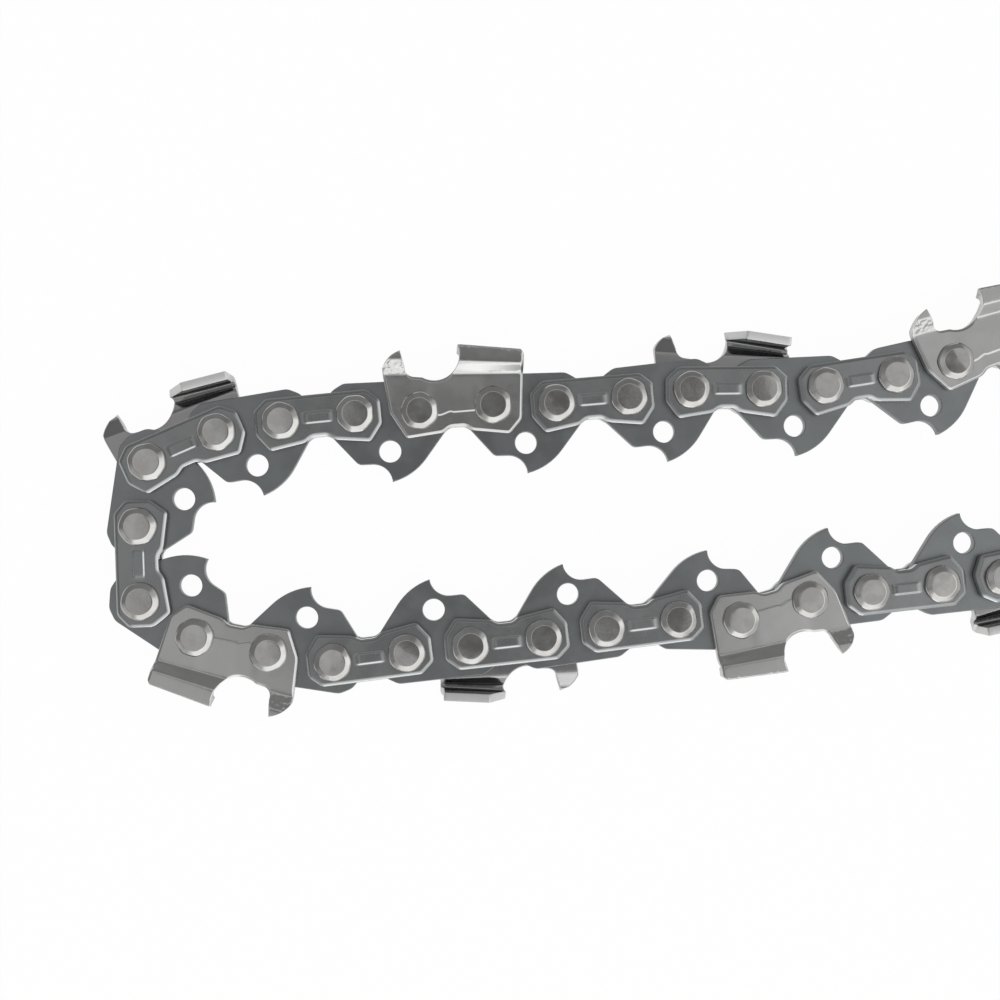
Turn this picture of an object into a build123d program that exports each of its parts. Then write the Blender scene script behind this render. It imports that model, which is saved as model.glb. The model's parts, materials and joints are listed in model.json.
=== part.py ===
# Saw chain, a closed loop of 28 drive links and 28 pairs of side plates, lying on its side.
# Millimetres. +Z is up along the rivets, +X along the loop, and the loop's middle is over the origin.
# Each link is drawn in a frame of its own: X along the chain's travel, Y to the inside of the loop,
# Z along the rivets, its two rivets on the X axis and the chain's middle plane at Z = 0.
import os
from math import atan2, cos, radians, sin, tan

from build123d import *

os.makedirs("parts", exist_ok=True)

# Pitch, gauge and plates
drive_spacing = 8.66  # between the two rivets of a drive link
side_spacing = 9.98  # between the two rivets of a tie strap or a cutter
gauge = 1.3  # thickness of a drive link, which runs in the guide bar's groove
plate_thickness = 1.2  # of a tie strap or a cutter
side_play = 0.06  # from a drive link to the plate on each side of it

# Rivets: a hub that the drive links turn on, a tenon through each plate, a peened head outside it
hub_radius = 2.2
hub_clearance = 0.05
tenon_radius = 1.7
head_radius = 2.6
head_flat_radius = 1.75
head_height = 0.85

# Drive link: a straight back, chamfered ends round the rivets, and a hooked tang
back_height = 4.25  # from the rivets' line out to the back
back_overhang = 1.5  # of the straight back past a rivet
end_chamfer_reach = 3.1  # past a rivet, where the back's long chamfer ends
end_chamfer_height = 3.3
end_reach = 4.45  # past a rivet, and from a rivet square to the tang's slopes
end_flat = 1.0  # of the upright end below the rivets' line
tang_depth = 9.4
tang_tip_x = -0.25
tang_shoulder = 6.9
tang_notch_x = 2.4  # where the shoulder turns into the notch in front of the tip
tang_leading_slope = 49
tang_trailing_slope = 52
tang_round_height = 6.4  # where the trailing slope turns into the rounded back of the hook
tang_hole_x = -0.1
tang_hole_height = 5.25
tang_hole_radius = 1.5

# Tie strap: octagonal ends, a straight outer edge and a waist on the inside
strap_end_reach = 3.5  # past a rivet
strap_end_flat = 1.6  # of the upright end, each way from the rivets' line
strap_outer_height = 3.15
strap_inner_height = 3.9
strap_corner_reach = 1.75  # past a rivet, where an end's chamfers start
waist_height = 2.5
waist_half_length = 1.0
waist_shoulder_height = 3.2
waist_shoulder_half_length = 2.0

# Cutter: a foot like a strap, a plate joggled outwards, a raker in front and a top plate bent inwards
cutter_half_width = 3.2  # from the chain's middle plane to the outside of a cutter
joggle_height = 4.6  # of the first bend beyond the rivets' line
joggle_length = 1.5
bend_tilt = -5.4  # of the bend lines to the rivets' line
foot_corner_reach = 2.0  # past a rivet, where an end's inner chamfer starts
heel_inner_reach = 3.8  # past the rear rivet
heel_inner_height = 4.05
heel_top_reach = 4.8  # past the rear rivet, at the top plate
heel_flat = 2.2  # height of the heel's upright edge inside the rivets' line
heel_top_height = 7.05
tooth_front_x = -0.85
tooth_top_height = 8.45
gullet_x = -0.05
gullet_height = 4.95
throat_x = 4.2
throat_height = 4.45
raker_root_x = 5.5
raker_root_height = 4.65
raker_round_x = 6.2
raker_round_height = 5.1
raker_back_x = 6.45
raker_back_height = 6.0
raker_tip_x = 6.9
raker_height = 8.2
raker_brow_x = 8.55
raker_brow_height = 7.3
toe_reach = 4.5  # past the front rivet, at the raker
toe_top_height = 6.0
toe_height = 5.0
toe_inner_reach = 4.0  # past the front rivet, on the rivets' line
toe_inner_height = 3.6
top_plate_thickness = 1.2
top_plate_width = 4.4
filing_angle = 28

# Heading of each link of half the loop, in degrees, as it lies; the other half is the same turned round
half_headings = (
    -167, -171, -177, -179, -173, -175, -178, -175, -177, -174, -170, -156, -98, -88,
    -34, -12, -9, 7, 6, 6, 8, 7, -1, 16, 7, 6, 6, 20,
)  # fmt: skip

half_drive = drive_spacing / 2
half_side = side_spacing / 2
plate_inner = gauge / 2 + side_play
plate_outer = plate_inner + plate_thickness
head_top = plate_outer + head_height


# Rivet, turned about its own axis
with BuildPart() as rivet:
    with BuildSketch(Plane.XZ):
        with BuildLine():
            Polyline(
                (0, -head_top),
                (head_flat_radius, -head_top),
                (head_radius, -plate_outer),
                (tenon_radius, -plate_outer),
                (tenon_radius, -plate_inner),
                (hub_radius, -plate_inner),
                (hub_radius, plate_inner),
                (tenon_radius, plate_inner),
                (tenon_radius, plate_outer),
                (head_radius, plate_outer),
                (head_flat_radius, head_top),
                (0, head_top),
                close=True,
            )
        make_face()
    revolve(axis=Axis.Z)


# Drive link
leading_top_x = half_drive + (end_reach - tang_shoulder * cos(radians(tang_leading_slope))) / sin(
    radians(tang_leading_slope)
)
trailing_top_x = -half_drive - (end_reach - tang_round_height * cos(radians(tang_trailing_slope))) / sin(
    radians(tang_trailing_slope)
)
leading_end_height = end_reach * tan(radians(90 - tang_leading_slope) / 2)
trailing_end_height = end_reach * tan(radians(90 - tang_trailing_slope) / 2)

with BuildPart() as drive_link:
    with BuildSketch(Plane.XY.offset(-gauge / 2)):
        with BuildLine():
            front = Polyline(
                (-half_drive - back_overhang, -back_height),
                (half_drive + back_overhang, -back_height),
                (half_drive + end_chamfer_reach, -end_chamfer_height),
                (half_drive + end_reach, -end_flat),
                (half_drive + end_reach, leading_end_height),
                (leading_top_x, tang_shoulder),
                (tang_notch_x, tang_shoulder),
            )
            TangentArc(front @ 1, (tang_tip_x, tang_depth), tangent=front % 1)
            rear = Polyline(
                front @ 0,
                (-half_drive - end_chamfer_reach, -end_chamfer_height),
                (-half_drive - end_reach, -end_flat),
                (-half_drive - end_reach, trailing_end_height),
                (trailing_top_x, tang_round_height),
            )
            TangentArc(rear @ 1, (tang_tip_x, tang_depth), tangent=rear % 1)
        make_face()
        with Locations((-half_drive, 0), (half_drive, 0)):
            Circle(hub_radius + hub_clearance, mode=Mode.SUBTRACT)
        with Locations((tang_hole_x, tang_hole_height)):
            Circle(tang_hole_radius, mode=Mode.SUBTRACT)
    extrude(amount=gauge)


# Tie strap, drawn as a flat plate that stands against the drive links
strap_corner_x = half_side + strap_corner_reach
strap_end_x = half_side + strap_end_reach

with BuildSketch(Plane.XY.offset(plate_inner)) as strap_outline:
    with BuildLine():
        waist = Polyline(
            (0, waist_height),
            (waist_half_length, waist_height),
            (waist_shoulder_half_length, waist_shoulder_height),
            (strap_corner_x, strap_inner_height),
            (strap_end_x, strap_end_flat),
            (strap_end_x, -strap_end_flat),
            (strap_corner_x, -strap_outer_height),
            (0, -strap_outer_height),
        )
        mirror(waist, about=Plane.YZ)
    make_face()

with BuildPart() as tie_link:
    extrude(strap_outline.sketch, amount=plate_thickness)
    mirror(about=Plane.XY)
    with Locations((-half_side, 0), (half_side, 0)):
        add(rivet.part)


# Top plate of a cutter, bent over the chain, its front edge filed back at an angle
heel_top = Vector(-half_side - heel_top_reach, -heel_top_height)
tooth_front = Vector(tooth_front_x, -tooth_top_height)
top_length = (heel_top - tooth_front).length
top_plane = Plane(
    origin=(tooth_front.X, tooth_front.Y, cutter_half_width),
    x_dir=heel_top - tooth_front,
    z_dir=(tooth_front - heel_top).rotate(Axis.Z, 90),
)

with BuildPart() as top_plate:
    with BuildSketch(top_plane):
        with BuildLine():
            Polyline(
                (0, 0),
                (top_length, 0),
                (top_length, -top_plate_width),
                (top_plate_width * tan(radians(filing_angle)), -top_plate_width),
                close=True,
            )
        make_face()
    extrude(amount=top_plate_thickness)


# Cutter, its plan outline cut out of a sheet that is joggled across tilted bend lines
joggle_angle = atan2(cutter_half_width - plate_outer, joggle_length)
joggle_end = joggle_height + joggle_length
bend_shift = plate_thickness * tan(joggle_angle / 2)  # from a bend on the outside to the same bend inside
bent_plane = Plane(
    origin=(0, 0, 0),
    x_dir=(-sin(radians(bend_tilt)), cos(radians(bend_tilt)), 0),
    z_dir=(cos(radians(bend_tilt)), sin(radians(bend_tilt)), 0),
)
sheet_reach = 2 * side_spacing  # well past the cutter's outline on every side

with BuildPart() as cutter:
    with BuildSketch(Plane.XY.offset(plate_inner)):
        with BuildLine():
            inner_edge = Polyline(
                (-half_side - heel_inner_reach, heel_flat),
                (-half_side - foot_corner_reach, heel_inner_height),
                (-waist_shoulder_half_length, waist_shoulder_height),
                (-waist_half_length, waist_height),
                (waist_half_length, waist_height),
                (waist_shoulder_half_length, waist_shoulder_height),
                (half_side + foot_corner_reach, toe_inner_height),
                (half_side + toe_inner_reach, 0),
                (half_side + toe_reach, -toe_height),
                (half_side + toe_reach, -toe_top_height),
            )
            ThreePointArc(inner_edge @ 1, (raker_brow_x, -raker_brow_height), (raker_tip_x, -raker_height))
            Line((raker_tip_x, -raker_height), (raker_back_x, -raker_back_height))
            ThreePointArc(
                (raker_back_x, -raker_back_height),
                (raker_round_x, -raker_round_height),
                (raker_root_x, -raker_root_height),
            )
            Line((raker_root_x, -raker_root_height), (throat_x, -throat_height))
            gullet = ThreePointArc(
                (throat_x, -throat_height), (gullet_x, -gullet_height), (tooth_front_x, -tooth_top_height)
            )
            Polyline(gullet @ 1, (heel_top.X, heel_top.Y), inner_edge @ 0)
        make_face()
    extrude(amount=cutter_half_width - plate_inner)
    with BuildSketch(bent_plane) as bent_sheet:
        with BuildLine():
            Polyline(
                (sheet_reach, plate_inner),
                (sheet_reach, plate_outer),
                (-joggle_height, plate_outer),
                (-joggle_end, cutter_half_width),
                (-sheet_reach, cutter_half_width),
                (-sheet_reach, cutter_half_width - plate_thickness),
                (-joggle_end - bend_shift, cutter_half_width - plate_thickness),
                (-joggle_height - bend_shift, plate_inner),
                close=True,
            )
        make_face()
    extrude(amount=sheet_reach, both=True, mode=Mode.INTERSECT)
    add(top_plate.part)

# Left cutter link: the cutter on the upper side, a tie strap on the lower side
with BuildPart() as left_cutter_link:
    extrude(strap_outline.sketch, amount=plate_thickness)
    mirror(about=Plane.XY, mode=Mode.REPLACE)
    add(cutter.part)
    with Locations((-half_side, 0), (half_side, 0)):
        add(rivet.part)

# Right cutter link, the left one's mirror image
with BuildPart() as right_cutter_link:
    add(left_cutter_link.part)
    mirror(about=Plane.XY, mode=Mode.REPLACE)


# The loop: links follow one another from rivet to rivet, and its second half is the first turned round
headings = half_headings + tuple(heading + 180 for heading in half_headings)
steps = [
    Vector(side_spacing if number % 2 else drive_spacing, 0).rotate(Axis.Z, heading)
    for number, heading in enumerate(headings)
]
position = sum(steps[: len(half_headings)], Vector()) * -0.5

for number, (step, heading) in enumerate(zip(steps, headings)):
    middle = position + step * 0.5
    place = Location((middle.X, middle.Y, cutter_half_width), (0, 0, heading))
    if number % 2 == 0:
        kind, link = "drive_link", drive_link
    elif number % 8 == 7:
        kind, link = "left_cutter_link", left_cutter_link
    elif number % 8 == 3:
        kind, link = "right_cutter_link", right_cutter_link
    else:
        kind, link = "tie_link", tie_link
    placed = link.part.moved(place)
    placed.label = f"{kind}_{number // 2 + 1:02d}"
    export_step(placed, f"parts/{placed.label}.step")
    position = position + step
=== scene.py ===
# Saw chain: finished plates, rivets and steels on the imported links, with a floor, light and camera
import json
import math

import bpy
import numpy as np
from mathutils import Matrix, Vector
from mathutils.geometry import delaunay_2d_cdt


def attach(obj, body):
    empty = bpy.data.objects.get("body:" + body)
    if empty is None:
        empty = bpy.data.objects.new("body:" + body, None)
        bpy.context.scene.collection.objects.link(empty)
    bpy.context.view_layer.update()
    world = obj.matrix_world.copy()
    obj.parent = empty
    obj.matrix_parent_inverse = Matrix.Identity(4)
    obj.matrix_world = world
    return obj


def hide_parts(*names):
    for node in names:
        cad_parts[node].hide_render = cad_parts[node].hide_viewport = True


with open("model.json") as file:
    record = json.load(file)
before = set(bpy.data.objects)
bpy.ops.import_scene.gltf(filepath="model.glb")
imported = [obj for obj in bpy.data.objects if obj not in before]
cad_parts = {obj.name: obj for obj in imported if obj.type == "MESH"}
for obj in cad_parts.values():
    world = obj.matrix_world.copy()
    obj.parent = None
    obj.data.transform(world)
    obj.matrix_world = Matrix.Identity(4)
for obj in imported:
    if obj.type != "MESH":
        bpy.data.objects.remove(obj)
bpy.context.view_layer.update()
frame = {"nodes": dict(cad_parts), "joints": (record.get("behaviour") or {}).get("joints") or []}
millimetre = 0.001  # the links' sizes are in millimetres, in each link's own frame

# Each link's frame: x along the chain's travel, y to the inside of the loop, z along its rivets
chain = {
    "driveSpacing": 8.66,
    "sideSpacing": 9.98,
    "gauge": 1.3,
    "sidePlay": 0.06,
    "plateThickness": 1.2,
}
halfDrive = chain["driveSpacing"] / 2
halfSide = chain["sideSpacing"] / 2
plateInner = chain["gauge"] / 2 + chain["sidePlay"]
plateOuter = plateInner + chain["plateThickness"]

# The rivets round the loop; the loop is opened at the one half a turn from the first
linkCount = len(frame["nodes"])
openRivet = linkCount // 2
rivetPlace = np.zeros((linkCount, 2))
for joint in frame["joints"]:
    rivetPlace[int(joint["name"].split("_")[1])] = joint["pos_m"][:2]
rivetPlace[openRivet] = -rivetPlace[0]
middleHeight = frame["joints"][0]["pos_m"][2]


# Paths

samePoint = 1e-6  # points nearer than this are one
shortestRun = 1e-3  # shorter runs of an outline are dropped


def arcThrough(first, middle, last, count):
    # circle through three points: centre from the two chords' bisectors, then even turns from first to last
    a, b, c = (np.array(p, float) for p in (first, middle, last))
    centre = np.linalg.solve(2 * np.array([b - a, c - a]), [b @ b - a @ a, c @ c - a @ a])
    turn = [math.atan2(*(p - centre)[::-1]) for p in (a, b, c)]
    bend = (turn[1] - turn[0] + math.pi) % (2 * math.pi) - math.pi
    sweep = (turn[2] - turn[0]) % (2 * math.pi) if bend > 0 else -((turn[0] - turn[2]) % (2 * math.pi))
    angle = turn[0] + sweep * np.linspace(0, 1, count)
    ring = centre + np.linalg.norm(a - centre) * np.column_stack([np.cos(angle), np.sin(angle)])
    return np.column_stack([ring, np.zeros(count)])


def arcFrom(start, heading, end, count):
    # arc that leaves the start on a heading: at each share of its turn, the chord from the start has turned
    # by that share of half of it
    chord = np.subtract(end, start)
    half = (math.atan2(chord[1], chord[0]) - heading + math.pi) % (2 * math.pi) - math.pi
    turned = half * np.linspace(0, 1, count)
    reach = np.hypot(*chord) * np.sin(turned) / math.sin(half)
    x, y = start[0] + reach * np.cos(heading + turned), start[1] + reach * np.sin(heading + turned)
    return np.column_stack([x, y, np.zeros(count)])


def roundedPath(corners, count=5):
    # at each corner a quadratic curve between the runs beside it, its reach given as the third number
    corners = np.array(corners, float)
    corners = corners[np.linalg.norm(np.roll(corners, -1, 0)[:, :2] - corners[:, :2], axis=1) > samePoint]
    point, reach = corners[:, None, :2], corners[:, None, 2:]
    before = np.roll(point, 1, 0) - point
    after = np.roll(point, -1, 0) - point
    start = point + reach * before / np.linalg.norm(before, axis=-1, keepdims=True)
    end = point + reach * after / np.linalg.norm(after, axis=-1, keepdims=True)
    t = np.linspace(0, 1, count)[None, :, None]
    return ((1 - t) ** 2 * start + 2 * t * (1 - t) * point + t**2 * end).reshape(-1, 2)


def dividePath(path, step):
    # doubled points go, and each run is cut into even pieces no longer than the step
    path = path[np.linalg.norm(np.roll(path, -1, 0) - path, axis=1) > shortestRun]
    closed = np.vstack([path, path[:1]])
    pieces = np.ceil(np.linalg.norm(np.diff(closed, axis=0), axis=1) / step).astype(int)
    first = np.repeat(np.arange(len(path)), pieces)
    share = (np.arange(len(first)) - np.repeat(np.cumsum(pieces) - pieces, pieces)) / pieces[first]
    return closed[first] + share[:, None] * (closed[first + 1] - closed[first])


def circlePath(centre, radius, count):
    # turns clockwise, so that the plate lies on its left as it does along the outline
    angle = -2 * math.pi * np.arange(count) / count
    return np.array(centre) + radius * np.column_stack([np.cos(angle), np.sin(angle)])


# Sheets: a flat blank filled with triangles, then bent and pressed by a function of its two coordinates

ringRoom = 0.94  # share of its inset that a ring's point keeps from every other edge
weldReach = 1e-5  # points of a blank this near are welded


def runsOf(loops):
    return np.vstack(loops), np.vstack([np.roll(loop, -1, 0) for loop in loops])


def edgeDistance(points, loops):
    # least distance from each point to any run of the loops
    start, end = runsOf(loops)
    along = end - start
    offset = points[:, None] - start
    share = np.clip((offset * along).sum(-1) / (along**2).sum(-1), 0, 1)
    return np.linalg.norm(offset - share[..., None] * along, axis=-1).min(1)


def insideLoops(points, loops):
    # a line from the point along x crosses the loops an odd number of times
    start, end = runsOf(loops)
    x, y = points[:, :1], points[:, 1:]
    rise = end[:, 1] - start[:, 1]
    crossing = start[:, 0] + (y - start[:, 1]) * (end[:, 0] - start[:, 0]) / np.where(rise == 0, 1, rise)
    return (((start[:, 1] > y) != (end[:, 1] > y)) & (x < crossing)).sum(1) % 2 == 1


def keepInside(points, loops, margin):
    return points[insideLoops(points, loops) & (edgeDistance(points, loops) > margin)]


def ringPoints(loops, insets):
    # copies of each loop moved into the plate, without the points that come too near another edge
    start, _ = runsOf(loops)
    tangent = np.vstack([np.roll(loop, -1, 0) - np.roll(loop, 1, 0) for loop in loops])
    normal = np.column_stack([-tangent[:, 1], tangent[:, 0]])
    normal /= np.linalg.norm(normal, axis=1, keepdims=True)
    return np.vstack([keepInside(start + inset * normal, loops, ringRoom * inset) for inset in insets])


def gridOver(low, high, step):
    # an even grid over a box
    axes = [np.arange(a, b + samePoint, s) for a, b, s in zip(low, high, step)]
    return np.stack(np.meshgrid(*axes, indexing="ij"), -1).reshape(-1, 2)


def ease(t):
    # smooth step from 0 to 1
    t = np.clip(t, 0, 1)
    return t * t * (3 - 2 * t)


def rollOver(distance, width, drop, power):
    # nothing from the width inwards, the whole drop at the edge: power 1 is a chamfer, 2 a quarter ellipse
    share = 1 - np.clip(distance / width, 0, 1)
    return drop * (1 - (1 - share**power) ** (1 / power))


def fillBlank(loops, inner):
    # Delaunay triangles through the loops and the inner points, kept where they lie in the plate
    points = np.vstack(loops + [inner])
    ends = np.cumsum([len(loop) for loop in loops])
    first = np.arange(ends[-1])
    following = first + 1
    following[ends - 1] = np.concatenate([[0], ends[:-1]])
    runs = np.column_stack([first, following])
    found = delaunay_2d_cdt(points.tolist(), runs.tolist(), [], 1, weldReach)
    points, triangles = np.array(found[0]), np.array(found[2])
    a, b, c = (points[triangles[:, i]] for i in range(3))
    area = (b[:, 0] - a[:, 0]) * (c[:, 1] - a[:, 1]) - (b[:, 1] - a[:, 1]) * (c[:, 0] - a[:, 0])
    triangles = np.where(area[:, None] > 0, triangles, triangles[:, ::-1])
    return points, triangles[insideLoops((a + b + c) / 3, loops)], runs


def pressSheet(piece, loops, inner, place, relief=None, sheen=None, softness=None):
    # both faces from one blank: rolled over by the distance to the edge, relief raised, walls in between
    points, triangles, runs = fillBlank(loops, inner)
    distance = edgeDistance(points, loops)
    distance[: len(runs)] = 0
    soft = softness(points) if softness else 1
    power = piece["rollPower"]
    outerDepth = rollOver(distance, soft * piece["outerWidth"], soft * piece["outerDrop"], power)
    innerDepth = piece["thickness"] - rollOver(distance, piece["innerWidth"], piece["innerDrop"], power)
    if relief:
        outerDepth = outerDepth - relief(points)
    count = len(points)
    # the rims take a lighter tone in the steel: bare edges, partly a painted highlight; on the strap the
    # bar's sides take it too, as a painted highlight
    rim = 1 - ease(distance / piece["rimWidth"])
    rimAndSheen = np.maximum(rim, sheen(points)) if sheen else rim
    return {
        "points": np.vstack([place(points, outerDepth), place(points, innerDepth)]),
        "triangles": np.vstack([triangles, triangles[:, ::-1] + count]),
        "quads": np.column_stack([runs[:, 0], runs[:, 0] + count, runs[:, 1] + count, runs[:, 1]]),
        "rim": np.concatenate([rimAndSheen, rim]),
        # the inner face, marked for a darker painted shade in the steel
        "inside": np.repeat([0.0, 1.0], count),
    }


# Drive link: hooked plate that runs in the bar's groove

drive = {
    "backHeight": 4.25,
    "backOverhang": 1.5,
    "chamferReach": 3.1,
    "chamferHeight": 3.3,
    "endReach": 4.45,
    "endFlat": 1.0,
    "tangDepth": 9.4,
    "tipX": -0.25,
    "shoulder": 6.9,
    "notchX": 2.4,
    "leadingSlope": 49,
    "trailingSlope": 52,
    "roundHeight": 6.4,
    "tangHole": (-0.1, 5.25),
    "tangHoleRadius": 1.5,
    "rivetHoleRadius": 2.25,
    "corner": 0.5,
    "thickness": chain["gauge"],
    "outerWidth": 0.09,  # width and drop of the rolled edges, on the outer and the inner face
    "outerDrop": 0.08,
    "innerWidth": 0.09,
    "innerDrop": 0.08,
    "rollPower": 1.5,
    "rimWidth": 0.1,
    "outlineStep": 0.4,  # how finely the outline, its arcs, the holes and the faces are divided
    "notchPoints": 13,
    "hookPoints": 9,
    "rivetHolePoints": 28,
    "tangHolePoints": 36,
    "rings": [0.03, 0.06, 0.09, 0.13],
    "flatGrid": ((-8.5, -4), (8.5, 9), (0.9, 0.9)),
    "flatMargin": 0.4,
}


def driveOutline(d):
    # back, leading end and slope, notch, hook, trailing slope and end, as corners and two arcs
    lead, trail = math.radians(d["leadingSlope"]), math.radians(d["trailingSlope"])
    leadTop = halfDrive + (d["endReach"] - d["shoulder"] * math.cos(lead)) / math.sin(lead)
    trailTop = -halfDrive - (d["endReach"] - d["roundHeight"] * math.cos(trail)) / math.sin(trail)
    leadEnd = d["endReach"] * math.tan((math.pi / 2 - lead) / 2)
    trailEnd = d["endReach"] * math.tan((math.pi / 2 - trail) / 2)
    tip = (d["tipX"], d["tangDepth"])
    soft = d["corner"]
    front = [
        (-halfDrive - d["backOverhang"], -d["backHeight"], soft),
        (halfDrive + d["backOverhang"], -d["backHeight"], soft),
        (halfDrive + d["chamferReach"], -d["chamferHeight"], soft),
        (halfDrive + d["endReach"], -d["endFlat"], soft),
        (halfDrive + d["endReach"], leadEnd, soft),
        (leadTop, d["shoulder"], soft),
    ]
    rear = [
        (-halfDrive - d["endReach"], trailEnd, soft),
        (-halfDrive - d["endReach"], -d["endFlat"], soft),
        (-halfDrive - d["chamferReach"], -d["chamferHeight"], soft),
    ]
    # the notch leaves the shoulder, and the hook's back leaves the trailing slope, without a corner
    notch = arcFrom((d["notchX"], d["shoulder"]), math.pi, tip, d["notchPoints"])
    hook = arcFrom((trailTop, d["roundHeight"]), trail, tip, d["hookPoints"])[::-1]
    return dividePath(roundedPath(np.vstack([front, notch, hook, rear])), d["outlineStep"])


def drivePlace(points, depth):
    return np.column_stack([points, chain["gauge"] / 2 - depth])


def makeDriveLink():
    loops = [
        driveOutline(drive),
        circlePath((-halfDrive, 0), drive["rivetHoleRadius"], drive["rivetHolePoints"]),
        circlePath((halfDrive, 0), drive["rivetHoleRadius"], drive["rivetHolePoints"]),
        circlePath(drive["tangHole"], drive["tangHoleRadius"], drive["tangHolePoints"]),
    ]
    flat = keepInside(gridOver(*drive["flatGrid"]), loops, drive["flatMargin"])
    rings = ringPoints(loops, drive["rings"])
    return pressSheet(drive, loops, np.vstack([rings, flat]), drivePlace)


# Tie strap: octagonal ends, a waist on the inside, a raised bar between the rivets

strap = {
    "endReach": 3.5,
    "endFlat": 1.6,
    "outerHeight": 3.15,
    "innerHeight": 3.9,
    "cornerReach": 1.75,
    "waistHeight": 2.5,
    "waistHalf": 1.0,
    "shoulderHeight": 3.2,
    "shoulderHalf": 2.0,
    "corner": 0.45,
    "barMiddle": (0.0, -0.05),
    "barHalf": (2.1, 0.85),
    "barRaise": 0.17,
    "barWall": (0.7, 0.34),
    "thickness": chain["plateThickness"],
    "outerWidth": 0.46,
    "outerDrop": 0.27,
    "innerWidth": 0.12,
    "innerDrop": 0.1,
    "rollPower": 1.15,
    "rimWidth": 0.4,
    "outlineStep": 0.4,
    "rings": [0.05, 0.12, 0.22, 0.34, 0.46, 0.52],
    "flatGrid": ((-8.1, -3), (8.1, 4), (0.9, 0.9)),
    "flatMargin": 0.85,
    "barGrid": ((-2.4, -1.05), (2.41, 0.96), (0.24, 0.085)),
    "barMargin": 0.65,
}


def strapOutline(s):
    # half of the outline as corners, the other half its mirror image
    cornerX, endX, soft = halfSide + s["cornerReach"], halfSide + s["endReach"], s["corner"]
    right = np.array([
        (cornerX, -s["outerHeight"], soft),
        (endX, -s["endFlat"], soft),
        (endX, s["endFlat"], soft),
        (cornerX, s["innerHeight"], soft),
        (s["shoulderHalf"], s["shoulderHeight"], soft),
        (s["waistHalf"], s["waistHeight"], soft),
    ])
    return dividePath(roundedPath(np.vstack([right, right[::-1] * (-1, 1, 1)])), s["outlineStep"])


def barShares(points):
    # how far up the bar's walls a point lies, by its ends and by its sides, which are steeper
    return ease((strap["barHalf"] - np.abs(points - strap["barMiddle"])) / strap["barWall"])


def barRelief(points):
    return strap["barRaise"] * barShares(points).prod(1)


def barSheen(points):
    # painted highlight on the bar's sides: most half way up them, none at the ends
    ends, sides = barShares(points).T
    return ends * 4 * sides * (1 - sides)


def platePlace(points, depth):
    return np.column_stack([points, plateOuter - depth])


def makeStrap():
    loops = [strapOutline(strap)]
    rings = ringPoints(loops, strap["rings"])
    flat = keepInside(gridOver(*strap["flatGrid"]), loops, strap["flatMargin"])
    bar = keepInside(gridOver(*strap["barGrid"]), loops, strap["barMargin"])
    return pressSheet(strap, loops, np.vstack([rings, flat, bar]), platePlace, barRelief, sheen=barSheen)


# Cutter: one blank with foot, raker and top plate, joggled outwards and folded over the chain

cutter = {
    "halfWidth": 3.2,
    "lowerBend": (4.6, 3.8),  # height on the middle line, and tilt in degrees
    "upperBend": (6.2, 6.3),
    "bendSoftness": 0.005,
    "footCornerReach": 2.0,
    "heelInnerReach": 3.8,
    "heelInnerHeight": 4.05,
    "heelFlat": 2.2,
    "heelTop": (-halfSide - 4.8, -7.05),
    "toothFront": (-0.85, -8.45),
    "gullet": (-0.05, -4.95),
    "throat": (4.2, -4.45),
    "rakerRoot": (5.5, -4.65),
    "rakerRound": (6.2, -5.1),
    "rakerBack": (6.45, -6.0),
    "rakerTip": (6.9, -8.2),
    "rakerBrow": (8.55, -7.3),
    "toeReach": 4.5,
    "toeTop": 6.0,
    "toeHeight": 5.0,
    "toeInnerReach": 4.0,
    "toeInnerHeight": 3.6,
    "topPlateWidth": 4.4,
    "foldRadius": 0.22,
    "foldFillet": 0.8,
    "drawnStart": -2.0,
    "filingAngle": 28,
    "rearCut": 0.45,
    "corner": 0.45,
    "toeCorner": 0.4,
    "flapCorners": (0.15, 0.3, 0.2, 0.2),
    "stepHeight": 0.55,
    "stepKinks": [(-0.15, 0.55, 0.1), (0.4, 0.6, 1.7)],  # move, start and length of each kink
    "stepHalf": 4.4,
    "stepFade": 1.6,
    "stepRaise": 0.115,
    "stepWall": 0.32,
    "stepSlope": 5.6,
    "rakerStart": 6.1,
    "rakerFade": 0.3,
    "rakerWrinkle": 0.17,
    "wrinkleWaves": np.random.default_rng(7).normal(0, 7, (2, 12)),
    "thickness": chain["plateThickness"],
    "outerWidth": 0.34,
    "outerDrop": 0.22,
    "innerWidth": 0.12,
    "innerDrop": 0.1,
    "rollPower": 1.15,
    "rimWidth": 0.12,
    "crispness": 0.25,  # share of the roll that is left on a crisp edge
    "footRoll": 0.3,  # at the lower bend, on its way from none to full over the fade
    "footFade": 1.2,
    "heelCorner": (-8.2, -6.9),
    "heelFade": 0.5,
    "outlineStep": 0.35,
    "browPoints": 9,
    "rootPoints": 7,
    "gulletPoints": 21,
    "rings": [0.04, 0.085, 0.12, 0.18, 0.26, 0.34, 0.4],
    "rampGrid": ((-10.2, -0.4), (9.8, 1.4), (0.4, 0.1)),  # along x, and by shares from bend to bend
    "rampRoom": 0.8,  # that the ramp's points keep from the fold
    "foldReach": -0.7,
    "foldStep": (0.45, 0.055),
    "foldFine": 1.05,  # past the fold's start; beyond it only one point in so many stays
    "flapThinning": 9,
    "stepGrid": ((-3.2, 0.15), (3.21, 1.2), (0.2, 0.05)),
    "slopeGrid": ((-4.4, -3.6), (4.41, -0.1), (0.4, 0.35)),
    "rakerGrid": ((6.2, -7.3), (9.4, -4.7), (0.17, 0.17)),
    "rakerShift": (0.03, 0.02),
    "flatGrid": ((-9.5, -8), (9.5, 4), (0.9, 0.9)),
    "margins": {"ramp": 0.5, "fold": 0.12, "flat": 0.8, "step": 0.55, "slope": 0.55, "raker": 0.2},
}
thickness = cutter["thickness"]
toothFront, heelTop = np.array(cutter["toothFront"]), np.array(cutter["heelTop"])
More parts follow.
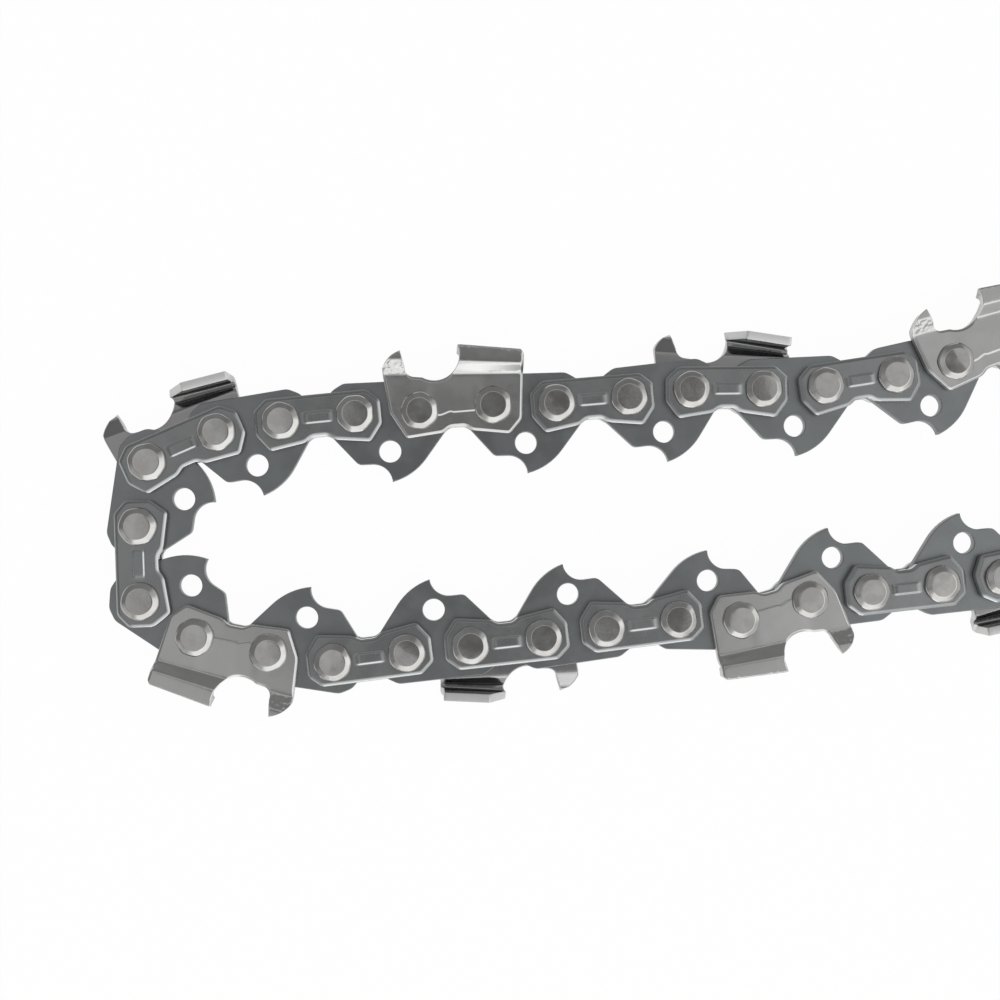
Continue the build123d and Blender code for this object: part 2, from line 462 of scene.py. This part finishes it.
topLength = np.linalg.norm(heelTop - toothFront)
topAlong = (heelTop - toothFront) / topLength
topOut = np.array([-topAlong[1], topAlong[0]])
foldRadius = cutter["foldRadius"]
# length of the flat blank past the fold's start
foldEnd = foldRadius * math.pi / 2 + cutter["topPlateWidth"] - foldRadius
joggleRise = cutter["halfWidth"] - plateOuter


def bendLine(x, bend):
    # y on a tilted bend line
    height, tilt = bend
    return -height - math.tan(math.radians(tilt)) * x


def pastBend(points, bend):
    # how far a point lies beyond a bend line, measured square to the rivets' line
    return bendLine(points[:, 0], bend) - points[:, 1]


def joggled(points, inwards):
    # ramp between the two bend lines with softened ends: half the difference of two softened absolutes
    past, before = pastBend(points, cutter["lowerBend"]), pastBend(points, cutter["upperBend"])
    width = past - before
    slope = np.arctan2(joggleRise, width)
    t = (past - inwards * thickness * np.tan(slope / 2)) / width
    soft = cutter["bendSoftness"]
    return joggleRise * 0.5 * (np.sqrt(t**2 + soft) - np.sqrt((t - 1) ** 2 + soft) + 1)


def cutterPlace(points, depth):
    # where a blank's point goes on the outer and the inner face, and between them by its depth
    share = depth / thickness
    along = (points - toothFront) @ topAlong
    past = (points - toothFront) @ topOut + foldRadius  # past the start of the fold, in the flat blank
    angle = np.clip(past / foldRadius, 0, math.pi / 2)
    flap = np.maximum(past - foldRadius * math.pi / 2, 0)
    outerOut = np.minimum(past, 0) - foldRadius + foldRadius * np.sin(angle)
    outerDown = foldRadius * (1 - np.cos(angle)) + flap
    # drawn in from the start to the inner corner, past which a parabola's fillet eases into the flap
    crease, start, fillet = foldRadius * math.pi / 4, cutter["drawnStart"], cutter["foldFillet"]
    drawn = (foldRadius - thickness - start) / (crease - start)
    beyond = past - crease
    eased = np.where(np.abs(beyond) < fillet, (beyond + fillet) ** 2 / (4 * fillet), np.maximum(beyond, 0))
    innerOut = np.where(past < start, past - foldRadius, drawn * (beyond - eased) - thickness)
    innerDown = thickness + eased * (cutter["topPlateWidth"] - thickness) / (foldEnd - crease)
    out = outerOut + share * (innerOut - outerOut)
    flat = toothFront + along[:, None] * topAlong + out[:, None] * topOut
    outerRise, innerRise = joggled(points, 0), joggled(points, 1)
    rise = outerRise + share * (innerRise - outerRise)
    down = outerDown + share * (innerDown - outerDown)
    return np.column_stack([flat, plateOuter + rise - down])


def cutterSoftness(points):
    # rolled edges on the foot and down the heel, crisp ones along the gullet, the raker and the top plate
    foot = ease(cutter["footRoll"] - pastBend(points, cutter["lowerBend"]) / cutter["footFade"])
    (heelX, heelY), fade = cutter["heelCorner"], cutter["heelFade"]
    heel = ease((heelX - points[:, 0]) / fade) * ease((points[:, 1] - heelY) / fade)
    return cutter["crispness"] + (1 - cutter["crispness"]) * np.maximum(foot, heel)


def cutterOutline(c):
    # foot, toe, raker, gullet, top plate laid flat, heel; drawn the other way round and turned
    soft = c["corner"]
    frontCorner = toothFront + math.tan(math.radians(c["filingAngle"])) * c["topPlateWidth"] * topAlong
    flapOut = (foldEnd - foldRadius) * topOut
    inner = [
        (-halfSide - c["heelInnerReach"], c["heelFlat"], soft),
        (-halfSide - c["footCornerReach"], c["heelInnerHeight"], soft),
        (-strap["shoulderHalf"], strap["shoulderHeight"], soft),
        (-strap["waistHalf"], strap["waistHeight"], soft),
        (strap["waistHalf"], strap["waistHeight"], soft),
        (strap["shoulderHalf"], strap["shoulderHeight"], soft),
        (halfSide + c["footCornerReach"], c["toeInnerHeight"], soft),
        (halfSide + c["toeInnerReach"], 0, soft),
        (halfSide + c["toeReach"], -c["toeHeight"], c["toeCorner"]),
    ]
    toe = (halfSide + c["toeReach"], -c["toeTop"])
    arcs = [
        arcThrough(toe, c["rakerBrow"], c["rakerTip"], c["browPoints"]),
        arcThrough(c["rakerBack"], c["rakerRound"], c["rakerRoot"], c["rootPoints"]),
        arcThrough(c["throat"], c["gullet"], c["toothFront"], c["gulletPoints"]),
    ]
    cut = c["rearCut"] * topAlong
    flap = [frontCorner + flapOut, heelTop - cut + flapOut, heelTop - cut, heelTop - c["rearCut"] * topOut]
    flap = np.column_stack([flap, c["flapCorners"]])
    return dividePath(roundedPath(np.vstack([inner, *arcs, flap])[::-1]), c["outlineStep"])


def cutterRelief(points):
    # a wall along a kinked line, with a plateau that slopes away evenly behind it, and an uneven band on the
    # raker's ramp: the mean of some waves
    x, y = points.T
    kinks = [move * ease((x - start) / length) for move, start, length in cutter["stepKinks"]]
    behind = cutter["stepHeight"] + sum(kinks) - y
    ends = ease((cutter["stepHalf"] - np.abs(x)) / cutter["stepFade"])
    wall = cutter["stepRaise"] * ease(behind / cutter["stepWall"] + 0.5)
    plateau = wall * np.clip(1 - behind / cutter["stepSlope"], 0, 1)
    fade = cutter["rakerFade"]
    band = ease((x - cutter["rakerStart"]) / fade) * ease(pastBend(points, cutter["lowerBend"]) / fade)
    band = band * ease(-pastBend(points, cutter["upperBend"]) / fade)
    waves = cutter["wrinkleWaves"]
    wrinkle = np.cos(points @ waves + np.arange(waves.shape[1]) ** 2).mean(1)
    return plateau * ends + cutter["rakerWrinkle"] * band * wrinkle


def makeCutter():
    loops = [cutterOutline(cutter)]
    rings = ringPoints(loops, cutter["rings"])
    # points in rows that lean with the ramp's bends, along the fold, and close together on the relief
    ramp = gridOver(*cutter["rampGrid"])
    low, high = (bendLine(ramp[:, 0], cutter[bend]) for bend in ("lowerBend", "upperBend"))
    ramp = np.column_stack([ramp[:, 0], low + ramp[:, 1] * (high - low)])
    ramp = ramp[(ramp - toothFront) @ topOut < -foldRadius - cutter["rampRoom"]]
    fold = gridOver((0, cutter["foldReach"]), (topLength, foldEnd), cutter["foldStep"])
    fold = fold[(fold[:, 1] < cutter["foldFine"]) | (np.arange(len(fold)) % cutter["flapThinning"] == 0)]
    fold = toothFront + fold[:, :1] * topAlong + (fold[:, 1:] - foldRadius) * topOut
    parts = {
        "ramp": ramp,
        "fold": fold,
        "flat": gridOver(*cutter["flatGrid"]),
        "step": gridOver(*cutter["stepGrid"]),
        "slope": gridOver(*cutter["slopeGrid"]),
        "raker": gridOver(*cutter["rakerGrid"]) + cutter["rakerShift"],
    }
    inner = [keepInside(points, loops, cutter["margins"][part]) for part, points in parts.items()]
    blank = np.vstack([rings, *inner])
    return pressSheet(cutter, loops, blank, cutterPlace, cutterRelief, softness=cutterSoftness)


# Rivet: hub between the plates and a peened head on each side, turned about its own axis

rivet = {
    "headRadius": 2.58,
    "headHeight": 0.85,
    "flatRadius": 1.75,
    "coneRadius": 2.36,
    "coneHeight": 0.52,
    "bevelRadius": 2.52,
    "bevelHeight": 0.365,
    "hubRadius": 2.2,
    "headSunk": 0.05,  # how far the heads and the hub's ends lie inside the plates
    "hubSunk": 0.1,
    "corners": (0.07, 0.06, 0.06),
    "cornerPoints": 6,
    "flatRows": (0.5, 0.93),
    "coneRows": (0.1, 0.9),
    "sides": 48,
    "facet": 0.015,
    "facetSides": (5, 9),
    "lobes": 3,
    "lobeShare": 0.7,
    "crease": 0.055,
    "creaseOff": 0.4,
    "creaseSoftness": 0.03,
    "tilt": 0.02,
}
chance = np.random.default_rng(944)


def headProfile():
    # flat top, cone, bevel and steep wall, their corners a little rounded
    flatCorner, coneCorner, bevelCorner = rivet["corners"]
    corners = [
        (0, rivet["headHeight"], 0),
        (rivet["flatRadius"], rivet["headHeight"], flatCorner),
        (rivet["coneRadius"], rivet["coneHeight"], coneCorner),
        (rivet["bevelRadius"], rivet["bevelHeight"], bevelCorner),
        (rivet["headRadius"], -rivet["headSunk"], 0),
    ]
    count = rivet["cornerPoints"]
    path = roundedPath(corners, count)
    path = path[np.append(True, np.linalg.norm(np.diff(path, axis=0), axis=1) > samePoint)]
    # rows close to the ends of the flat and of the cone keep both true up to their corners
    flat = path[1] * [(share, 1) for share in rivet["flatRows"]]
    cone = path[count] + np.array(rivet["coneRows"])[:, None] * (path[count + 1] - path[count])
    return np.vstack([path[:1], flat, path[1 : count + 1], cone, path[count + 1 :]])


def peenedHead(turn):
    # the radius wavers with the turn; the top leans and is creased once across, both less towards the rim
    radius, height = headProfile().T[..., None]
    sides, phase = chance.integers(*rivet["facetSides"]), chance.uniform(0, 2 * math.pi, 4)
    lean, crease = chance.normal(0, rivet["tilt"]), abs(chance.normal(0, rivet["crease"]))
    lobes = rivet["lobeShare"] * np.cos(rivet["lobes"] * turn + phase[1])
    waver = rivet["facet"] * (np.cos(sides * turn + phase[0]) + lobes)
    wavered = radius * (1 + waver * (radius / rivet["headRadius"]) ** 2)
    firm = np.clip(height / rivet["headHeight"], 0, 1)
    off = radius * np.cos(turn - phase[3]) + rivet["creaseOff"]
    fold = crease * 0.5 * (off + np.sqrt(off**2 + rivet["creaseSoftness"]))
    fall = lean * radius * np.cos(turn - phase[2]) - fold
    return wavered, height + firm * (fall + rivet["creaseOff"] * crease)


def makeRivet(x):
    # rows of points round the axis: the upper head from its middle out, the hub, the lower head back in
    turn = np.linspace(0, 2 * math.pi, rivet["sides"], endpoint=False)[None]
    upperRadius, upperHeight = peenedHead(turn)
    lowerRadius, lowerHeight = peenedHead(turn)
    hub = np.full((1, rivet["sides"]), rivet["hubRadius"])
    sunk = np.full((1, rivet["sides"]), plateOuter - rivet["hubSunk"])
    radius = np.vstack([upperRadius, hub, hub, lowerRadius[::-1]])
    height = np.vstack([plateOuter + upperHeight, sunk, -sunk, -plateOuter - lowerHeight[::-1]])
    points = np.stack([x + radius * np.cos(turn), radius * np.sin(turn), height], -1)
    # the first and last row are one point each
    rows, sides = radius.shape
    index = np.arange(rows * sides).reshape(rows, sides) - sides + 1
    index[0], index[-1] = 0, (rows - 2) * sides + 1
    around = np.roll(index, -1, 1)
    quads = np.stack([index[:-1], index[1:], around[1:], around[:-1]], -1)
    return {
        "points": np.vstack([points[:1, 0], points[1:-1].reshape(-1, 3), points[-1:, 0]]),
        "triangles": np.vstack([quads[0][:, :3], quads[-1][:, [0, 1, 3]]]),
        "quads": quads[1:-1].reshape(-1, 4),
        "rim": np.zeros((rows - 2) * sides + 2),
        "inside": np.zeros((rows - 2) * sides + 2),
    }


def joined(*meshes):
    # several meshes as one, each one's corners counted on from the last
    starts = np.cumsum([0] + [len(m["points"]) for m in meshes])
    return {
        "points": np.vstack([m["points"] for m in meshes]),
        "triangles": np.vstack([m["triangles"] + s for m, s in zip(meshes, starts)]),
        "quads": np.vstack([m["quads"] + s for m, s in zip(meshes, starts)]),
        "rim": np.concatenate([m["rim"] for m in meshes]),
        "inside": np.concatenate([m["inside"] for m in meshes]),
    }


def turnedOver(mesh):
    # the mirror image on the chain's other side
    return {
        **mesh,
        "points": mesh["points"] * (1, 1, -1),
        "triangles": mesh["triangles"][:, ::-1],
        "quads": mesh["quads"][:, ::-1],
    }


driveMesh, strapMesh, cutterMesh = makeDriveLink(), makeStrap(), makeCutter()
for name, mesh in (("drive link", driveMesh), ("strap", strapMesh), ("cutter", cutterMesh)):
    print(name + ":", len(mesh["triangles"]) + 2 * len(mesh["quads"]), "triangles")


# Steels

class Value:
    # a socket in a shader; sums on it add Math nodes
    def __init__(self, shader, socket):
        self.shader, self.socket = shader, socket

    def math(self, operation, *others):
        inputs = dict(enumerate((self, *others)))
        return self.shader.node("ShaderNodeMath", {"operation": operation}, inputs)

    def __add__(self, other):
        return self.math("ADD", other)

    def __sub__(self, other):
        return self.math("SUBTRACT", other)

    def __rsub__(self, other):
        return self * -1 + other

    def __mul__(self, other):
        return self.math("MULTIPLY", other)

    __radd__, __rmul__ = __add__, __mul__


class Shader:
    # a node tree that is written as expressions
    def __init__(self, owner):
        owner.use_nodes = True
        self.tree = owner.node_tree
        self.tree.nodes.clear()

    def node(self, kind, settings, inputs, output=0):
        made = self.tree.nodes.new(kind)
        for name, value in settings.items():
            setattr(made, name, value)
        for name, value in inputs.items():
            if isinstance(value, Value):
                self.tree.links.new(value.socket, made.inputs[name])
            else:
                made.inputs[name].default_value = value
        return Value(self, made.outputs[output]) if made.outputs else None

    def noise(self, place, scale, detail=3.0, rough=0.55):
        inputs = {"Vector": place, "Scale": scale, "Detail": detail, "Roughness": rough}
        return self.node("ShaderNodeTexNoise", {}, inputs)

    def between(self, value, low, high):
        # 0 below low, 1 above high
        inputs = {"Value": value, "From Min": low, "From Max": high}
        return self.node("ShaderNodeMapRange", {"interpolation_type": "SMOOTHSTEP"}, inputs)

    def blend(self, factor, first, second):
        return self.node("ShaderNodeMix", {"data_type": "RGBA"}, {0: factor, 6: first, 7: second}, 2)


# the inside tone is a painted shade on the inner faces, which lie between the plates; the rim tone is the
# bare edges' lighter steel, partly a painted highlight
finishes = {
    "driveSteel": {
        "colour": (0.22, 0.231, 0.234, 1), "shade": (0.203, 0.213, 0.215, 1),
        "rim": (0.22, 0.231, 0.234, 1), "inside": (0.2, 0.21, 0.212, 1),
        "roughness": 0.31, "rimRoughness": 0.05, "spread": 0.06, "cloud": 260, "grain": 5200, "bump": 0.02,
    },
    "strapSteel": {
        "colour": (0.25, 0.259, 0.261, 1), "shade": (0.228, 0.236, 0.238, 1),
        "rim": (0.5, 0.508, 0.51, 1), "inside": (0.2, 0.208, 0.21, 1),
        "roughness": 0.29, "rimRoughness": -0.12, "spread": 0.07, "cloud": 300, "grain": 4300, "bump": 0.02,
    },
    "cutterSteel": {
        "colour": (0.44, 0.445, 0.436, 1), "shade": (0.415, 0.42, 0.411, 1),
        "rim": (0.68, 0.68, 0.675, 1), "inside": (0.29, 0.29, 0.29, 1),
        "roughness": 0.2, "rimRoughness": 0.25, "spread": 0.05, "cloud": 330, "grain": 4600, "bump": 0.02,
    },
    "rivetSteel": {
        "colour": (0.45, 0.45, 0.437, 1), "shade": (0.39, 0.38, 0.367, 1),
        "rim": (0.425, 0.428, 0.42, 1), "inside": (0.425, 0.428, 0.42, 1),
        "roughness": 0.14, "rimRoughness": 0.0, "spread": 0.06, "cloud": 420, "grain": 2600, "bump": 0.05,
    },
}
surface = {
    "cloudRange": (0.36, 0.66),
    "grainDetail": 4.0,
    "grainRough": 0.6,
    "rimLeast": 0.55,
    "rimGrain": 0.4,
    "cloudSpread": 0.6,
    "grainSpread": 1.2,
    "spreadMiddle": 0.9,
    "bumpDepth": 0.00008,
}


def makeSteel(name, finish):
    # two tones in soft clouds, a lighter tone along the rims that is partly a painted highlight, a darker
    # painted shade on the inner faces, grain in roughness and bump
    steel = bpy.data.materials.new(name)
    shader = Shader(steel)
    place = shader.node("ShaderNodeTexCoord", {}, {}, "Object")
    cloud = shader.between(shader.noise(place, finish["cloud"]), *surface["cloudRange"])
    grain = shader.noise(place, finish["grain"], surface["grainDetail"], surface["grainRough"])
    rim = shader.node("ShaderNodeAttribute", {"attribute_name": "rim"}, {}, "Fac")
    inside = shader.node("ShaderNodeAttribute", {"attribute_name": "inside"}, {}, "Fac")
    colour = shader.blend(cloud, finish["shade"], finish["colour"])
    # painted shade: the inner faces, which lie between the plates, are darker
    colour = shader.blend(inside, colour, finish["inside"])
    # rims lighter: the bare edges' steel, partly a painted highlight
    colour = shader.blend(rim * (surface["rimLeast"] + surface["rimGrain"] * grain), colour, finish["rim"])
    uneven = cloud * surface["cloudSpread"] + grain * surface["grainSpread"] - surface["spreadMiddle"]
    roughness = finish["roughness"] + finish["spread"] * uneven + finish["rimRoughness"] * rim
    inputs = {"Strength": finish["bump"], "Distance": surface["bumpDepth"], "Height": grain}
    relief = shader.node("ShaderNodeBump", {}, inputs)
    inputs = {"Base Color": colour, "Metallic": 1.0, "Roughness": roughness, "Normal": relief}
    finished = shader.node("ShaderNodeBsdfPrincipled", {}, inputs)
    shader.node("ShaderNodeOutputMaterial", {}, {"Surface": finished})
    return steel


steels = {name: makeSteel(name, finish) for name, finish in finishes.items()}
print("steels:", ", ".join(steels))


# Pieces on the links

sharpTurn = math.radians(42)  # edges that turn by more are shaded sharp


def addPiece(name, mesh, place, steel, body):
    # the link's frame turned and moved to its rivets, in metres
    start, end = place
    along = (end - start) / np.linalg.norm(end - start)
    turn = np.array([along, (-along[1], along[0])])
    points = mesh["points"] * millimetre
    placed = np.column_stack([points[:, :2] @ turn + (start + end) / 2, points[:, 2] + middleHeight])
    data = bpy.data.meshes.new(name)
    data.from_pydata(placed.tolist(), [], mesh["triangles"].tolist() + mesh["quads"].tolist())
    for mark in ("rim", "inside"):
        data.attributes.new(mark, "FLOAT", "POINT").data.foreach_set("value", mesh[mark].astype(np.float32))
    data.shade_smooth()
    data.set_sharp_from_angle(angle=sharpTurn)
    data.materials.append(steels[steel])
    piece = bpy.data.objects.new(name, data)
    bpy.context.scene.collection.objects.link(piece)
    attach(piece, body)
    return piece


for node in sorted(frame["nodes"]):
    kind, number = node[:-3], node[-2:]
    index = 2 * int(number) - (2 if kind == "drive_link" else 1)
    place = rivetPlace[index], rivetPlace[(index + 1) % linkCount]
    if kind == "drive_link":
        plate = addPiece("driveLink" + number, driveMesh, place, "driveSteel", node)
        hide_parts(node)
        continue
    for side in ("Upper", "Lower"):
        isCutter = kind == {"Upper": "left_cutter_link", "Lower": "right_cutter_link"}[side]
        mesh = cutterMesh if isCutter else strapMesh
        steel, slot = ("cutterSteel", "cutter_chrome") if isCutter else ("strapSteel", "tie_strap_steel")
        label = ("cutter" if isCutter else "tieStrap") + side + number
        plate = addPiece(label, mesh if side == "Upper" else turnedOver(mesh), place, steel, node)
        if side == "Upper":
            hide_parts(node)
    heads = joined(makeRivet(-halfSide), makeRivet(halfSide))
    addPiece("rivets" + number, heads, place, "rivetSteel", node)


# Floor, light and camera, in metres, watts and degrees

stage = {
    "floorHalf": 6.0,
    "floorLevel": -0.00003,
    "floorColour": (0.9, 0.9, 0.9, 1),
    "floorWhite": 0.97,
    "keyPlace": (-0.04, -0.45, 0.12),
    "keyTarget": (-0.06, 0.01, 0.0),
    "keySize": (0.34, 0.1),
    "keyPower": 0.16,
    "cameraPlace": (-0.08085, -0.00674, 0.1741),
    "cameraTurn": (0.24, -3.28, 0.06),
    "cameraLens": 45,
    "cameraSensor": 36,
    "cameraNear": 0.01,
}
sky = {
    "keySide": (0.707, -0.707, 0.0),
    "fillSide": (-0.87, -0.5, 0.0),
    "overhead": (0.045, 0.0, 1.0),
    "up": (0.0, 0.0, 1.0),
    "level": 0.74,
    "keyLift": 0.12,  # each lift or dip is followed by the ranges over which it comes in
    "keyRange": (0.1, 0.5),
    "bandLift": 0.92,
    "bandSide": (0.2, 0.42),
    "bandUp": (0.3, 0.46),
    "topRange": (0.72, 0.9),
    "backDip": 0.4,
    "backSide": (-0.12, 0.15),
    "backUp": (0.03, 0.11),
    "fillLift": 0.5,
    "fillRange": (0.84, 0.96),
    "patchDip": 0.52,
    "patchRange": (0.973, 0.99),
}


def makeFloor():
    # white to the camera and in reflections, with part of its own light and shadow kept
    half, level = stage["floorHalf"], stage["floorLevel"]
    data = bpy.data.meshes.new("floor")
    corners = [(-half, -half, level), (half, -half, level), (half, half, level), (-half, half, level)]
    data.from_pydata(corners, [], [(0, 1, 2, 3)])
    floor = bpy.data.objects.new("floor", data)
    bpy.context.scene.collection.objects.link(floor)
    paper = bpy.data.materials.new("whitePaper")
    shader = Shader(paper)
    lit = shader.node("ShaderNodeBsdfDiffuse", {}, {"Color": stage["floorColour"]})
    white = shader.node("ShaderNodeEmission", {}, {"Color": (1, 1, 1, 1), "Strength": 1.0})
    kinds = ("Camera", "Glossy", "Transmission")
    rays = [shader.node("ShaderNodeLightPath", {}, {}, f"Is {kind} Ray") for kind in kinds]
    seen = sum(rays[1:], rays[0]).math("MINIMUM", 1.0) * stage["floorWhite"]
    mixed = shader.node("ShaderNodeMixShader", {}, {0: seen, 1: lit, 2: white})
    shader.node("ShaderNodeOutputMaterial", {}, {"Surface": mixed})
    data.materials.append(paper)


def makeWorld():
    # a bright band half way up on the key's side, less low on the fill's, dim behind, a dark patch overhead
    world = bpy.data.worlds.new("studio")
    bpy.context.scene.world = world
    shader = Shader(world)
    direction = shader.node("ShaderNodeTexCoord", {}, {}, "Generated")

    def towards(way):
        inputs = {0: direction, 1: Vector(way).normalized()}
        return shader.node("ShaderNodeVectorMath", {"operation": "DOT_PRODUCT"}, inputs, "Value")

    side, fill, over, up = (towards(sky[way]) for way in ("keySide", "fillSide", "overhead", "up"))
    low = 1 - shader.between(up, *sky["topRange"])
    band = shader.between(side, *sky["bandSide"]) * shader.between(up, *sky["bandUp"]) * low
    back = shader.between(side * -1, *sky["backSide"]) * shader.between(up, *sky["backUp"]) * low
    glow = sky["level"] - sky["patchDip"] * shader.between(over, *sky["patchRange"])
    glow = glow + sky["keyLift"] * shader.between(side, *sky["keyRange"])
    glow = glow + sky["bandLift"] * band - sky["backDip"] * back
    glow = glow + sky["fillLift"] * shader.between(fill, *sky["fillRange"])
    light = shader.node("ShaderNodeBackground", {}, {"Color": glow, "Strength": 1.0})
    shader.node("ShaderNodeOutputWorld", {}, {"Surface": light})


def makeKey():
    data = bpy.data.lights.new("softKey", "AREA")
    data.shape = "RECTANGLE"
    data.size, data.size_y = stage["keySize"]
    data.energy = stage["keyPower"]
    lamp = bpy.data.objects.new("softKey", data)
    lamp.location = stage["keyPlace"]
    lamp.rotation_euler = (Vector(stage["keyTarget"]) - lamp.location).to_track_quat("-Z", "Y").to_euler()
    lamp.visible_camera = False
    bpy.context.scene.collection.objects.link(lamp)


def makeCamera():
    data = bpy.data.cameras.new("camera")
    data.lens, data.sensor_width = stage["cameraLens"], stage["cameraSensor"]
    data.clip_start = stage["cameraNear"]
    camera = bpy.data.objects.new("camera", data)
    camera.location = stage["cameraPlace"]
    camera.rotation_euler = [math.radians(a) for a in stage["cameraTurn"]]
    bpy.context.scene.collection.objects.link(camera)
    bpy.context.scene.camera = camera


makeFloor()
makeWorld()
makeKey()
makeCamera()
bpy.context.scene.view_settings.view_transform = "Standard"
print("stage: floor, world, key light and camera")
